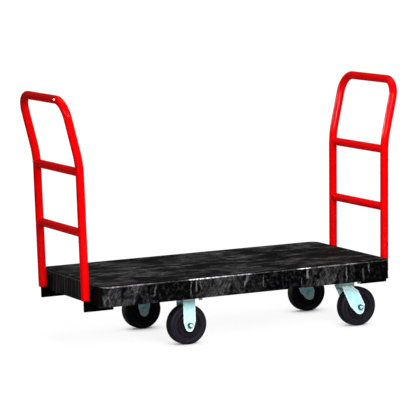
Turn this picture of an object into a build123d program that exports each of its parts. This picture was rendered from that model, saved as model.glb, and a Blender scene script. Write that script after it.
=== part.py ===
from build123d import *
import math
import os

# Flatbed platform truck: a moulded black deck on steel channels, a red tube handle at each end,
# two rigid casters near the middle and two swivel casters near the +X end.
# Frame: origin on the floor under the middle of the truck, X along its length, Y across it, Z up.
# All lengths are in millimetres.

INCH = 25.4

# ---------------------------------------------------------------- driving dimensions
# Deck: a moulded tray, open underneath, whose skirt leans outward going down.
deck_length = 48 * INCH
deck_width = 24 * INCH
deck_top_z = 263.4
skirt_depth = 75.9
skirt_spread = 2.7
deck_corner_radius = 38.0
deck_edge_radius = 3.0
deck_skin = 10.0
skirt_wall = 8.0
rib_thickness = 5.0
rib_lift = 12.0
cross_rib_count = 9
middle_rib_y = 52.0

# Steel under the deck: two channels along it and two flat bars across it.
rail_y = 204.0
rail_width = 92.0
rail_wall = 3.0
rail_length = 1180.0
crossbar_width = 120.0
crossbar_span = 550.0

# Handles: one bent tube each, with two cross rungs.
tube_radius = 0.625 * INCH
tube_wall = 2.0
post_y = 205.0
post_x_at_deck = 637.2
post_foot_z = 204.0
lower_lean = 0.91
bend_z = 709.6
bend_radius = 400.0
upper_lean = 13.24
top_bar_z = 946.2
corner_radius = 70.0
rung_heights = {"lower": 454.7, "upper": 679.6}
rung_trim = 4.0

# Handle brackets: an angle under and behind the deck edge, a web and a spigot for the post.
web_thickness = 6.0
web_inner_x = 525.0
web_outer_x = 643.6
web_bottom_z = 160.4
bracket_plate = 5.0
bracket_half_width = 30.0
back_plate_half_width = 20.0
back_plate_top_z = 247.0
back_plate_gap = 0.3
spigot_radius = 13.6
spigot_top_z = 330.0
spigot_chamfer = 2.0
lock_bolt_z = 225.0
bracket_bolt_x = (545.0, 585.0)
bracket_bolt_y = 18.0

# Casters, shared sizes.
wheel_radius = 3 * INCH
wheel_half_width = 24.0
caster_y = 8 * INCH
rigid_x = -225.8
swivel_x = 458.0
swivel_lead = 50.0
plate_length = 4.5 * INCH
plate_width = 4 * INCH
plate_thickness = 0.25 * INCH
plate_corner_radius = 9.0
plate_top_z = 7.25 * INCH
bolt_spacing_x = 3.625 * INCH
bolt_spacing_y = 2.625 * INCH
leg_thickness = 4.8
leg_outer = 31.4
leg_half_width = 25.0
leg_panel_depth = 0.8
leg_rim = 3.5
boss_radius = 17.5
boss_drop = 8.0
leg_corner_radius = 8.0
leg_corner_rise = 15.0
fork_bend_radius = 6.0

# Swivel head.
# Its legs wrap five circles, each given by X behind the kingpin, height and radius.
swivel_shoulder = (38.5, 138.5, 6.0)
swivel_back = (60.5, 82.0, 11.0)
swivel_tip = (50.0, 66.0, 19.0)
swivel_toe = (39.5, 62.0, 10.0)
swivel_heel = (14.5, 83.0, 6.0)
crown_bottom_z = 158.2
race_radius = 38.5
race_wall = 2.5
race_lip_z = 165.0
race_disc = 3.8
lower_race_radius = 34.0
ball_radius = 4.0
groove_depth = 1.0
ball_circle_radius = 27.0
ball_count = 18
kingpin_radius = 6.35
kingpin_head_radius = 11.0
kingpin_head = 3.0
kingpin_end_z = 144.5
kingpin_hex = 17.0
kingpin_washer = 1.8

# Axles and bearings.
axle_radius = 0.25 * INCH
sleeve_radius = 0.375 * INCH
washer_radius = 15.0
washer_thickness = 0.8
roller_radius = 2.0
roller_count = 14
bearing_radius = 15.0
hub_radius = 22.0
core_radius = 50.0
core_web_half = 19.0
core_rim_half = 23.0
core_step = 3.0
tyre_shoulder = 9.0
tyre_chamfer = 1.5

# Fasteners: hexagons across flats, heads, nuts and shanks.
axle_hex = 0.75 * INCH
mount_hex = 0.5625 * INCH
mount_bolt_radius = 0.1875 * INCH
small_hex = 0.5 * INCH
small_bolt_radius = 0.15625 * INCH
hex_chamfer = 0.08
tip_chamfer = 0.8
head_share = 0.62
nut_share = 0.6
bolt_end = 2.5
axle_end = 3.0

# Clearances.
hole_gap = 0.25
thread_gap = 0.05
running_gap = 0.05
pivot_gap = 0.1
body_gap = 0.3

# ---------------------------------------------------------------- derived levels
skirt_bottom_z = deck_top_z - skirt_depth
deck_under_z = deck_top_z - deck_skin
rib_bottom_z = skirt_bottom_z + rib_lift
plate_bottom_z = plate_top_z - plate_thickness
rail_web_top_z = skirt_bottom_z + rail_wall
leg_inner = leg_outer - leg_thickness
axle_z = wheel_radius
hub_half_length = leg_inner - washer_thickness - body_gap
roller_circle = sleeve_radius + running_gap + roller_radius
race_bottom_z = plate_bottom_z - race_disc
ball_z = race_bottom_z - ball_radius - body_gap + groove_depth
crown_top_z = crown_bottom_z + leg_thickness
skirt_slope = skirt_spread / skirt_depth
SIDES = {"near": -1, "far": 1}
ENDS = {"left": -1, "right": 1}


# ---------------------------------------------------------------- small helpers
def block(x_range, y_range, z_range):
    """A box between two limits on each axis, whichever way round each pair is given."""
    sizes = [abs(high - low) for low, high in (x_range, y_range, z_range)]
    middle = [(high + low) / 2 for low, high in (x_range, y_range, z_range)]
    return Pos(*middle) * Box(*sizes)


def rod(start, direction, radius, length):
    """A round bar from a start point along a direction."""
    plane = Plane(origin=start, z_dir=direction)
    return plane * Cylinder(radius, length, align=(Align.CENTER, Align.CENTER, Align.MIN))


def hexagon(start, direction, across_flats, length):
    """A hexagonal bar from a start point along a direction, with its far corners turned off."""
    plane = Plane(origin=start, z_dir=direction)
    bar = extrude(RegularPolygon(across_flats / 2, 6, major_radius=False), length)
    turned = Cylinder(
        across_flats / math.sqrt(3), length, align=(Align.CENTER, Align.CENTER, Align.MIN)
    )
    turned = chamfer(turned.edges().group_by(Axis.Z)[-1], across_flats * hex_chamfer)
    return plane * (bar & turned)


def ring(start, direction, outer, inner, length):
    """A flat or long ring: a bar with a round hole through it."""
    return rod(start, direction, outer, length) - rod(start, direction, inner, length)


def nut(start, direction, across_flats, hole_radius):
    """A hexagon nut that starts on a face and grows along a direction."""
    length = across_flats * nut_share
    return hexagon(start, direction, across_flats, length) - rod(start, direction, hole_radius, length)


def bolt(face, direction, across_flats, radius, grip):
    """A hexagon bolt whose head stands on a face, with its shank going the other way."""
    head = hexagon(face, direction, across_flats, across_flats * head_share)
    inward = tuple(-part for part in direction)
    return head + pointed_rod(face, inward, radius, grip)


def pointed_rod(start, direction, radius, length):
    """A round bar whose far end has a small chamfer."""
    bar = rod(start, direction, radius, length)
    tip = [place + way * length for place, way in zip(start, direction)]
    rims = bar.edges().filter_by(GeomType.CIRCLE)
    return chamfer(rims.sort_by_distance(Vector(*tip))[0], tip_chamfer)


def save(name, shape):
    """Writes one node's file."""
    export_step(shape, f"parts/{name}.step")


def save_group(name, solids):
    """Writes one node of several separate solids."""
    loose = [solid for shape in solids for solid in shape.solids()]
    export_step(Compound(loose), f"parts/{name}.step")


def post_x(z, end):
    """Where a post's axis stands at a height below the bend."""
    return end * (post_x_at_deck + (z - deck_top_z) * math.tan(math.radians(lower_lean)))


# ---------------------------------------------------------------- fastener places
def mount_points(caster_x, side):
    """The four bolt places of one caster plate."""
    return [
        (caster_x + sx * bolt_spacing_x / 2, side * caster_y + sy * bolt_spacing_y / 2)
        for sx in (-1, 1)
        for sy in (-1, 1)
    ]


def bracket_points(end, side):
    """The four bolt places of one handle bracket."""
    return [
        (end * x, side * post_y + sy * bracket_bolt_y)
        for x in bracket_bolt_x
        for sy in (-1, 1)
    ]


all_mounts = [p for x in (rigid_x, swivel_x) for s in SIDES.values() for p in mount_points(x, s)]
all_brackets = [p for e in ENDS.values() for s in SIDES.values() for p in bracket_points(e, s)]


def vertical_holes(points, radius, low_z, high_z):
    """Round holes along Z at a list of places."""
    return [rod((x, y, low_z), (0, 0, 1), radius, high_z - low_z) for x, y in points]


# ---------------------------------------------------------------- deck
def tray(inset, low_z, high_z):
    """A rounded block whose sides follow the skirt's lean, set in from the outer face."""
    grow = (deck_top_z - low_z) * skirt_slope - inset
    outline = RectangleRounded(
        deck_length + 2 * grow, deck_width + 2 * grow, deck_corner_radius + grow
    )
    lean = math.degrees(math.atan(skirt_slope))
    return Pos(0, 0, low_z) * extrude(outline, high_z - low_z, taper=lean)


def make_deck_ribs():
    """Ribs in the deck's hollow, each a separate block: long ones beside the rails and in the
    middle, and cross ones that reach from one long rib, or from the skirt, to the next."""
    half = rib_thickness / 2
    rail_edge = rail_width / 2 + body_gap
    inner = rail_y - rail_edge - half
    outer = rail_y + rail_edge + half
    heights = (rib_bottom_z, deck_under_z)
    long_places = (-outer, -inner, -middle_rib_y, middle_rib_y, inner, outer)
    ribs = [
        block((-deck_length, deck_length), (y - half, y + half), heights) for y in long_places
    ]
    bays = [
        (-deck_width, -outer - half),
        (-inner + half, -middle_rib_y - half),
        (-middle_rib_y + half, middle_rib_y - half),
        (middle_rib_y + half, inner - half),
        (outer + half, deck_width),
    ]
    for index in range(cross_rib_count):
        x = rail_length * ((index + 1) / (cross_rib_count + 1) - 0.5)
        ribs += [block((x - half, x + half), bay, heights) for bay in bays]
    room = tray(skirt_wall, rib_bottom_z, deck_under_z)
    return [rib & room for rib in ribs]


def make_deck():
    """The moulded deck: a tray turned upside down, with handle bolt holes in its end walls."""
    outer = tray(0.0, skirt_bottom_z, deck_top_z)
    top_edges = outer.faces().sort_by(Axis.Z)[-1].edges()
    outer = fillet(top_edges, deck_edge_radius)
    hollow = tray(skirt_wall, skirt_bottom_z, deck_under_z)
    holes = [
        rod(
            (end * (deck_length / 2 - 2 * skirt_wall), side * post_y, lock_bolt_z),
            (end, 0, 0),
            small_bolt_radius + hole_gap,
            4 * skirt_wall,
        )
        for end in ENDS.values()
        for side in SIDES.values()
    ]
    return outer - hollow - holes


def make_rail(side):
    """A steel channel along the deck, open upward, with holes for casters and brackets."""
    half = rail_width / 2
    y = side * rail_y
    length = (-rail_length / 2, rail_length / 2)
    outside = block(length, (y - half, y + half), (skirt_bottom_z, deck_under_z))
    inside = block(
        (-rail_length, rail_length),
        (y - half + rail_wall, y + half - rail_wall),
        (rail_web_top_z, deck_top_z),
    )
    mounts = [p for p in all_mounts if p[1] * side > 0]
    brackets = [p for p in all_brackets if p[1] * side > 0]
    holes = vertical_holes(mounts, mount_bolt_radius + hole_gap, plate_top_z, deck_under_z)
    holes += vertical_holes(brackets, small_bolt_radius + hole_gap, plate_top_z, deck_under_z)
    return outside - inside - holes


def make_crossbar(x):
    """A flat steel bar that ties both rails over one pair of casters."""
    half = crossbar_width / 2
    bar = block(
        (x - half, x + half),
        (-crossbar_span / 2, crossbar_span / 2),
        (plate_top_z, skirt_bottom_z),
    )
    mounts = [p for s in SIDES.values() for p in mount_points(x, s)]
    return bar - vertical_holes(mounts, mount_bolt_radius + hole_gap, plate_top_z, skirt_bottom_z)


# ---------------------------------------------------------------- handles
def handle_path(end):
    """The handle's centre line: up one post, round the top bar and down the other post."""
    foot_x = post_x(post_foot_z, end)
    bend_x = post_x(bend_z, end)
    top_x = bend_x + end * (top_bar_z - bend_z) * math.tan(math.radians(upper_lean))
    corners = [
        (foot_x, -post_y, post_foot_z),
        (bend_x, -post_y, bend_z),
        (top_x, -post_y, top_bar_z),
        (top_x, post_y, top_bar_z),
        (bend_x, post_y, bend_z),
        (foot_x, post_y, post_foot_z),
    ]
    bends = (bend_radius, corner_radius, corner_radius, bend_radius)
    return FilletPolyline(*corners, radius=bends)


def tube_along(path, radius):
    """A round bar swept along a path."""
    start = Plane(origin=path @ 0, z_dir=path % 0)
    return sweep(start * Circle(radius), path=path)


def lock_hole(end, side, radius, far_x):
    """The hole of a handle's locking bolt, from inside the deck to the post's middle."""
    near_x = deck_length / 2 - 2 * skirt_wall
    return rod((end * near_x, side * post_y, lock_bolt_z), (end, 0, 0), radius, far_x - near_x)


def make_handle(end):
    """One handle: the bent tube, drilled on its deck side for the two locking bolts."""
    path = handle_path(end)
    tube = tube_along(path, tube_radius) - tube_along(path, tube_radius - tube_wall)
    for side in SIDES.values():
        tube -= lock_hole(end, side, small_bolt_radius + hole_gap, post_x_at_deck)
    return tube


def make_rung(end, height):
    """A cross tube, coped to the posts it is welded to, with the cope's thin tips trimmed."""
    half = post_y - rung_trim
    start = (post_x(height, end), -half, height)
    rung = ring(start, (0, 1, 0), tube_radius, tube_radius - tube_wall, 2 * half)
    return rung - tube_along(handle_path(end), tube_radius)


def make_bracket(end, side):
    """A welded bracket: angle plate, web below it and a spigot for the post."""
    y = side * post_y
    back_x = deck_length / 2 + skirt_spread + back_plate_gap
    flange_top_z = skirt_bottom_z
    flange_bottom_z = flange_top_z - bracket_plate
    flange = block(
        (end * web_inner_x, end * (back_x + bracket_plate)),
        (y - bracket_half_width, y + bracket_half_width),
        (flange_bottom_z, flange_top_z),
    )
    back = block(
        (end * back_x, end * (back_x + bracket_plate)),
        (y - back_plate_half_width, y + back_plate_half_width),
        (flange_bottom_z, back_plate_top_z),
    )
    half = web_thickness / 2
    web = block(
        (end * web_inner_x, end * web_outer_x), (y - half, y + half), (web_bottom_z, flange_bottom_z)
    )
    seat = block(
        (end * back_x, end * web_outer_x),
        (y - half, y + half),
        (web_bottom_z, post_foot_z - 2 * body_gap),
    )
    foot_z = post_foot_z - 4 * body_gap
    spigot = rod(
        (post_x(foot_z, end), y, foot_z),
        (end * math.tan(math.radians(lower_lean)), 0, 1),
        spigot_radius,
        spigot_top_z - foot_z,
    )
    tip = spigot.edges().filter_by(GeomType.CIRCLE).sort_by(Axis.Z)[-1]
    spigot = chamfer(tip, spigot_chamfer)
    bracket = flange + back + web + seat + spigot
    bracket -= vertical_holes(
        bracket_points(end, side), small_bolt_radius + hole_gap, web_bottom_z, deck_top_z
    )
    deep = post_x_at_deck + small_bolt_radius + 2 * hole_gap
    return bracket - lock_hole(end, side, small_bolt_radius + thread_gap, deep)


def make_lock_bolt(end, side):
    """The bolt that holds one post on its spigot, with its head inside the deck's skirt."""
    reach = (deck_top_z - lock_bolt_z) * skirt_slope
    face_x = deck_length / 2 + reach - skirt_wall - 2 * body_gap
    face = (end * face_x, side * post_y, lock_bolt_z)
    return bolt(face, (-end, 0, 0), small_hex, small_bolt_radius, post_x_at_deck - face_x)


# ---------------------------------------------------------------- caster parts
def make_plate(x, side, centre_hole):
    """A caster's top plate with four bolt holes and a stepped hole for a kingpin if it has one."""
    y = side * caster_y
    outline = RectangleRounded(plate_length, plate_width, plate_corner_radius)
    plate = Pos(x, y, plate_bottom_z) * extrude(outline, plate_thickness)
    plate -= vertical_holes(
        mount_points(x, side), mount_bolt_radius + hole_gap, plate_bottom_z, plate_top_z
    )
    if centre_hole:
        plate -= rod((x, y, plate_bottom_z), (0, 0, 1), kingpin_radius, plate_thickness)
        step_z = plate_top_z - kingpin_head
        plate -= rod((x, y, step_z), (0, 0, 1), kingpin_head_radius, kingpin_head)
    return plate


def leg_outline(corners, circles):
    """The tightest outline, in X and Z, round two upper corners and some circles."""
    edges = [Line(*corners)]
    for across, up, radius in circles:
        edges.append((Pos(across, up) * Circle(radius)).edge())
    return make_hull(edges)


def make_legs(outline, x, y):
    """Two fork legs from one outline in X and Z, each with a sunk panel inside a raised rim."""
    legs = Part()
    panel = offset(outline, -leg_rim)
    for way in SIDES.values():
        inner_face = Plane.XZ.offset(-(y + way * leg_inner)) * Pos(x, 0)
        panel_face = Plane.XZ.offset(-(y + way * (leg_outer - leg_panel_depth))) * Pos(x, 0)
        legs += extrude(inner_face * outline, -way * leg_thickness)
        legs -= extrude(panel_face * panel, -way * leg_thickness)
    return legs


def make_bridge(x, y, top_z):
    """The bent top of a fork: a flat strip whose ends turn down with round shoulders."""
    depth = 2 * leg_thickness
    outside = Rectangle(2 * leg_outer, depth, align=(Align.CENTER, Align.MAX))
    outside = fillet(outside.vertices().group_by(Axis.Y)[-1], fork_bend_radius)
    inside = Rectangle(2 * leg_inner, depth, align=(Align.CENTER, Align.MAX))
    inside = fillet(inside.vertices().group_by(Axis.Y)[-1], fork_bend_radius - leg_thickness)
    profile = outside - Pos(0, -leg_thickness) * inside
    start = Plane(origin=(x - leg_half_width, y, top_z), x_dir=(0, 1, 0), z_dir=(1, 0, 0))
    return extrude(start * profile, 2 * leg_half_width)


def drill_axle(body, axle_x, y):
    """Drills the axle hole through both legs of a fork."""
    start = (axle_x, y - 2 * leg_outer, axle_z)
    return body - rod(start, (0, 1, 0), axle_radius + thread_gap, 4 * leg_outer)


def make_rigid_fork(side):
    """The fork of a rigid caster: straight legs that narrow to a round tip below the axle."""
    y = side * caster_y
    top_z = plate_bottom_z - 2 * leg_thickness
    corner_x = leg_half_width - leg_corner_radius
    outline = leg_outline(
        ((-leg_half_width, top_z), (leg_half_width, top_z)),
        [
            (0, axle_z - boss_drop, boss_radius),
            (-corner_x, axle_z + leg_corner_rise, leg_corner_radius),
            (corner_x, axle_z + leg_corner_rise, leg_corner_radius),
        ],
    )
    body = make_bridge(rigid_x, y, plate_bottom_z) + make_legs(outline, rigid_x, y)
    return drill_axle(body, rigid_x, y)


def make_swivel_fork(side):
    """The fork of a swivel caster: a round crown with a ball groove, and legs that trail."""
    y = side * caster_y
    top_z = crown_top_z - 2 * leg_thickness
    outline = leg_outline(
        ((-leg_half_width, top_z), (leg_half_width, top_z)),
        [swivel_shoulder, swivel_back, swivel_tip, swivel_toe, swivel_heel],
    )
    crown = rod((swivel_x, y, crown_bottom_z), (0, 0, 1), race_radius, leg_thickness)
    race_height = ball_z - groove_depth - crown_top_z
    race = rod((swivel_x, y, crown_top_z), (0, 0, 1), lower_race_radius, race_height)
    groove = Pos(swivel_x, y, ball_z) * Torus(ball_circle_radius, ball_radius + thread_gap)
    body = make_bridge(swivel_x, y, crown_top_z) + crown + race + make_legs(outline, swivel_x, y)
    body -= groove
    body -= rod((swivel_x, y, 0), (0, 0, 1), kingpin_radius + pivot_gap, plate_top_z)
    return drill_axle(body, swivel_x + swivel_lead, y)


def make_race(side):
    """The upper ball race: a pressed cup under the top plate, with a lip over the balls."""
    y = side * caster_y
    height = plate_bottom_z - race_lip_z
    cup = rod((swivel_x, y, race_lip_z), (0, 0, 1), race_radius, height)
    shoulder = cup.edges().filter_by(GeomType.CIRCLE).sort_by(Axis.Z)[-1]
    cup = fillet(shoulder, race_wall)
    room = rod(
        (swivel_x, y, race_lip_z), (0, 0, 1), race_radius - race_wall, race_bottom_z - race_lip_z
    )
    groove = Pos(swivel_x, y, ball_z) * Torus(ball_circle_radius, ball_radius + body_gap)
    shaft = rod((swivel_x, y, race_lip_z), (0, 0, 1), kingpin_radius, height)
    return cup - room - groove - shaft


def make_balls(side):
    """The ring of bearing balls between a swivel's two races."""
    y = side * caster_y
    balls = []
    for index in range(ball_count):
        turn = 2 * math.pi * index / ball_count
        x_shift = ball_circle_radius * math.cos(turn)
        y_shift = ball_circle_radius * math.sin(turn)
        balls.append(Pos(swivel_x + x_shift, y + y_shift, ball_z) * Sphere(ball_radius))
    return balls


def make_kingpin(side):
    """The kingpin: a flat head sunk in the top plate and a shank through the crown."""
    y = side * caster_y
    head_z = plate_top_z - kingpin_head
    head = rod((swivel_x, y, head_z), (0, 0, 1), kingpin_head_radius, kingpin_head)
    shank = pointed_rod(
        (swivel_x, y, head_z), (0, 0, -1), kingpin_radius, head_z - kingpin_end_z
    )
    return head + shank


def make_kingpin_nut(side):
    """The nut and washer that hold the fork up on its kingpin."""
    y = side * caster_y
    washer_z = crown_bottom_z - body_gap - kingpin_washer
    hole = kingpin_radius + thread_gap
    washer = ring((swivel_x, y, washer_z), (0, 0, 1), washer_radius, hole, kingpin_washer)
    return washer + nut((swivel_x, y, washer_z), (0, 0, -1), kingpin_hex, hole)


# ---------------------------------------------------------------- axles and wheels
def make_axle_bolt(x, side):
    """The axle: a long hexagon bolt with its head on the inner leg."""
    y = side * caster_y
    face = (x, y - side * (leg_outer - leg_panel_depth), axle_z)
    grip = 2 * (leg_outer - leg_panel_depth) + axle_hex * nut_share + axle_end
    return bolt(face, (0, -side, 0), axle_hex, axle_radius, grip)


def make_axle_nut(x, side):
    """The axle's nut, on the outer leg."""
    face = (x, side * (caster_y + leg_outer - leg_panel_depth), axle_z)
    return nut(face, (0, side, 0), axle_hex, axle_radius + thread_gap)


def make_sleeve(x, side):
    """The spacer sleeve that the wheel turns on, with a thrust washer at each end."""
    y = side * caster_y
    hole = axle_radius + thread_gap
    sleeve = ring((x, y - leg_inner, axle_z), (0, 1, 0), sleeve_radius, hole, 2 * leg_inner)
    washers = []
    for start in (y - leg_inner, y + leg_inner - washer_thickness):
        place = (x, start, axle_z)
        inner = sleeve_radius + thread_gap
        washers.append(ring(place, (0, 1, 0), washer_radius, inner, washer_thickness))
    return [sleeve, *washers]


def revolved(profile, x, side):
    """Turns a half outline, given as distance along the axle and radius, round the axle."""
    place = Plane(origin=(x, side * caster_y, axle_z), x_dir=(0, 1, 0), z_dir=(1, 0, 0))
    return revolve(place * profile, Axis((x, side * caster_y, axle_z), (0, 1, 0)))


def make_core(x, side):
    """The wheel's moulded core: hub, dished web with steps, and the rim that holds the tyre."""
    half = [
        (hub_half_length, bearing_radius),
        (hub_half_length, hub_radius - core_step),
        (hub_half_length - core_step, hub_radius),
        (core_web_half, hub_radius + core_step),
        (core_web_half, core_radius - 2 * core_step),
        (core_rim_half, core_radius - core_step),
        (core_rim_half, core_radius),
    ]
    mirrored = [(-along, radius) for along, radius in reversed(half)]
    return revolved(make_face(Polyline(*half, *mirrored, close=True)), x, side)


def make_tyre(x, side):
    """The solid tyre: flat sides, a slightly crowned tread and round shoulders."""
    outline = Pos(0, (core_radius + wheel_radius) / 2) * Rectangle(
        2 * wheel_half_width, wheel_radius - core_radius
    )
    outline = fillet(outline.vertices().group_by(Axis.Y)[-1], tyre_shoulder)
    outline = chamfer(outline.vertices().group_by(Axis.Y)[0], tyre_chamfer)
    return revolved(outline, x, side)


def make_bearing(x, side):
    """The roller bearing in the hub: an outer race pressed in the core, and its rollers."""
    y = side * caster_y
    start = y - hub_half_length
    race_inner = roller_circle + roller_radius + thread_gap
    parts = [ring((x, start, axle_z), (0, 1, 0), bearing_radius, race_inner, 2 * hub_half_length)]
    roller_length = 2 * hub_half_length - 2 * core_step
    for index in range(roller_count):
        turn = 2 * math.pi * index / roller_count
        place = (
            x + roller_circle * math.cos(turn),
            start + core_step,
            axle_z + roller_circle * math.sin(turn),
        )
        parts.append(rod(place, (0, 1, 0), roller_radius, roller_length))
    return parts


# ---------------------------------------------------------------- writing the nodes
os.makedirs("parts", exist_ok=True)

save("deck_shell", make_deck())
save_group("deck_ribs", make_deck_ribs())
for side_name, side in SIDES.items():
    save(f"deck_rail_{side_name}", make_rail(side))
save("crossbar_rigid", make_crossbar(rigid_x))
save("crossbar_swivel", make_crossbar(swivel_x))

for end_name, end in ENDS.items():
    save(f"handle_{end_name}", make_handle(end))
    for rung_name, height in rung_heights.items():
        save(f"rung_{end_name}_{rung_name}", make_rung(end, height))
    for side_name, side in SIDES.items():
        save(f"bracket_{end_name}_{side_name}", make_bracket(end, side))

corners = [(end, side) for end in ENDS.values() for side in SIDES.values()]
save_group("handle_lock_bolts", [make_lock_bolt(end, side) for end, side in corners])

flange_bottom_z = skirt_bottom_z - bracket_plate
bracket_grip = bracket_plate + rail_wall + small_hex * nut_share + bolt_end
save_group(
    "bracket_bolts",
    [
        bolt((x, y, flange_bottom_z), (0, 0, -1), small_hex, small_bolt_radius, bracket_grip)
        for x, y in all_brackets
    ],
)
save_group(
    "bracket_nuts",
    [
        nut((x, y, rail_web_top_z), (0, 0, 1), small_hex, small_bolt_radius + thread_gap)
        for x, y in all_brackets
    ],
)
mount_grip = rail_web_top_z - plate_bottom_z + mount_hex * nut_share + bolt_end
save_group(
    "caster_bolts",
    [
        bolt((x, y, plate_bottom_z), (0, 0, -1), mount_hex, mount_bolt_radius, mount_grip)
        for x, y in all_mounts
    ],
)
save_group(
    "caster_nuts",
    [
        nut((x, y, rail_web_top_z), (0, 0, 1), mount_hex, mount_bolt_radius + thread_gap)
        for x, y in all_mounts
    ],
)

for side_name, side in SIDES.items():
    save(f"rigid_plate_{side_name}", make_plate(rigid_x, side, False))
    save(f"rigid_fork_{side_name}", make_rigid_fork(side))
    save(f"swivel_plate_{side_name}", make_plate(swivel_x, side, True))
    save(f"swivel_race_{side_name}", make_race(side))
    save(f"kingpin_{side_name}", make_kingpin(side))
    save(f"kingpin_nut_{side_name}", make_kingpin_nut(side))
    save(f"swivel_fork_{side_name}", make_swivel_fork(side))
    save_group(f"swivel_balls_{side_name}", make_balls(side))

swivel_axle_x = swivel_x + swivel_lead
save_group("rigid_axle_bolts", [make_axle_bolt(rigid_x, side) for side in SIDES.values()])
save_group("rigid_axle_nuts", [make_axle_nut(rigid_x, side) for side in SIDES.values()])
save_group(
    "rigid_axle_sleeves", [part for side in SIDES.values() for part in make_sleeve(rigid_x, side)]
)
for side_name, side in SIDES.items():
    save(f"swivel_axle_bolt_{side_name}", make_axle_bolt(swivel_axle_x, side))
    save(f"swivel_axle_nut_{side_name}", make_axle_nut(swivel_axle_x, side))
    save_group(f"swivel_axle_sleeve_{side_name}", make_sleeve(swivel_axle_x, side))
    for caster_name, x in (("rigid", rigid_x), ("swivel", swivel_axle_x)):
        save(f"{caster_name}_tyre_{side_name}", make_tyre(x, side))
        save(f"{caster_name}_core_{side_name}", make_core(x, side))
        save_group(f"{caster_name}_bearing_{side_name}", make_bearing(x, side))
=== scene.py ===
import math

import bmesh
import bpy
import numpy as np
from mathutils import Matrix, Vector


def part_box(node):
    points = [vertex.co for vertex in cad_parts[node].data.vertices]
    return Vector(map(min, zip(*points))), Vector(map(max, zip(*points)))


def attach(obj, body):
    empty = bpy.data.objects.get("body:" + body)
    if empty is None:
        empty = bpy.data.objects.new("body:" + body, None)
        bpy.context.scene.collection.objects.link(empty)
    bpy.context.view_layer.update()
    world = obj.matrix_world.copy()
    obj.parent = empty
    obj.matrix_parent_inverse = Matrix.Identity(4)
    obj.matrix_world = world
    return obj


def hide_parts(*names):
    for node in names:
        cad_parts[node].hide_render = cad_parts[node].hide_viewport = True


# A flatbed platform truck on a pale floor: a black moulded deck, a red tube handle at each end,
# rigid casters near the middle and swivel casters near the +X end. All lengths are in metres.

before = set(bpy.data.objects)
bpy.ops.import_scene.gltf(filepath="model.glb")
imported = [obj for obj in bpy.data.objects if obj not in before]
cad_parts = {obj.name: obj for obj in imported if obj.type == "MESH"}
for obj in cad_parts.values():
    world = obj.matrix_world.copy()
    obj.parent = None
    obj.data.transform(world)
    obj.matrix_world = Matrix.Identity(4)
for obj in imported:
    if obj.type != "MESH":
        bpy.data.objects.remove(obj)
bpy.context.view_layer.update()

MM = 0.001
SIDES = {"near": -1, "far": 1}
ENDS = {"left": -1, "right": 1}
WHEEL_STEPS = 128
RACE_STEPS = 96


# ---------------------------------------------------------------- sizes read from the frame
def corner_values(node):
    """Lowest and highest corner of a CAD node as two arrays."""
    low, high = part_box(node)
    return np.array(low), np.array(high)


deck_low, deck_high = corner_values("deck_shell")
tube_low, tube_high = corner_values("handle_right")
rung_low, rung_high = corner_values("rung_right_lower")
rigid_low, rigid_high = corner_values("rigid_tyre_far")
swivel_low, swivel_high = corner_values("swivel_tyre_far")
race_low, race_high = corner_values("swivel_race_far")
plate_low, plate_high = corner_values("swivel_plate_far")

DECK_TOP = deck_high[2]
DECK_BOTTOM = deck_low[2]
SKIRT_SPREAD = 2.7 * MM
DECK_HALF_X = deck_high[0] - SKIRT_SPREAD
DECK_HALF_Y = deck_high[1] - SKIRT_SPREAD
TUBE_RADIUS = (rung_high[2] - rung_low[2]) / 2 - 0.02 * MM
POST_Y = tube_high[1] - TUBE_RADIUS
WHEEL_RADIUS = (rigid_high[2] - rigid_low[2]) / 2
AXLE_Z = (rigid_high[2] + rigid_low[2]) / 2
CASTER_Y = (rigid_high[1] + rigid_low[1]) / 2
RIGID_X = (rigid_high[0] + rigid_low[0]) / 2
SWIVEL_AXLE_X = (swivel_high[0] + swivel_low[0]) / 2
SWIVEL_X = (race_high[0] + race_low[0]) / 2
PLATE_BOTTOM = plate_low[2]
PLATE_TOP = plate_high[2]


# ---------------------------------------------------------------- surfaces
def unit(vectors):
    """Vectors, one or an array of them, scaled to length one."""
    return vectors / np.linalg.norm(vectors, axis=-1, keepdims=True)


def grid(points, wrap_rows=False, wrap_columns=False, caps=False):
    """A surface from a rows by columns array of points: a quad between each four neighbours.
    It may close on itself either way, and caps closes its first and last row with flat faces."""
    rows, columns = points.shape[:2]
    index = np.arange(rows * columns).reshape(rows, columns)
    walk = np.vstack([index, index[:1]]) if wrap_rows else index
    walk = np.hstack([walk, walk[:, :1]]) if wrap_columns else walk
    quads = np.stack([walk[:-1, :-1], walk[1:, :-1], walk[1:, 1:], walk[:-1, 1:]], axis=-1)
    faces = quads.reshape(-1, 4).tolist()
    if caps:
        faces.extend([index[0].tolist(), index[-1][::-1].tolist()])
    return points.reshape(-1, 3), faces


def new_object(name, data):
    """An object put into the scene."""
    thing = bpy.data.objects.new(name, data)
    bpy.context.scene.collection.objects.link(thing)
    return thing


SAME_POINT = 2e-6
NO_LENGTH = 1e-7


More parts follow.
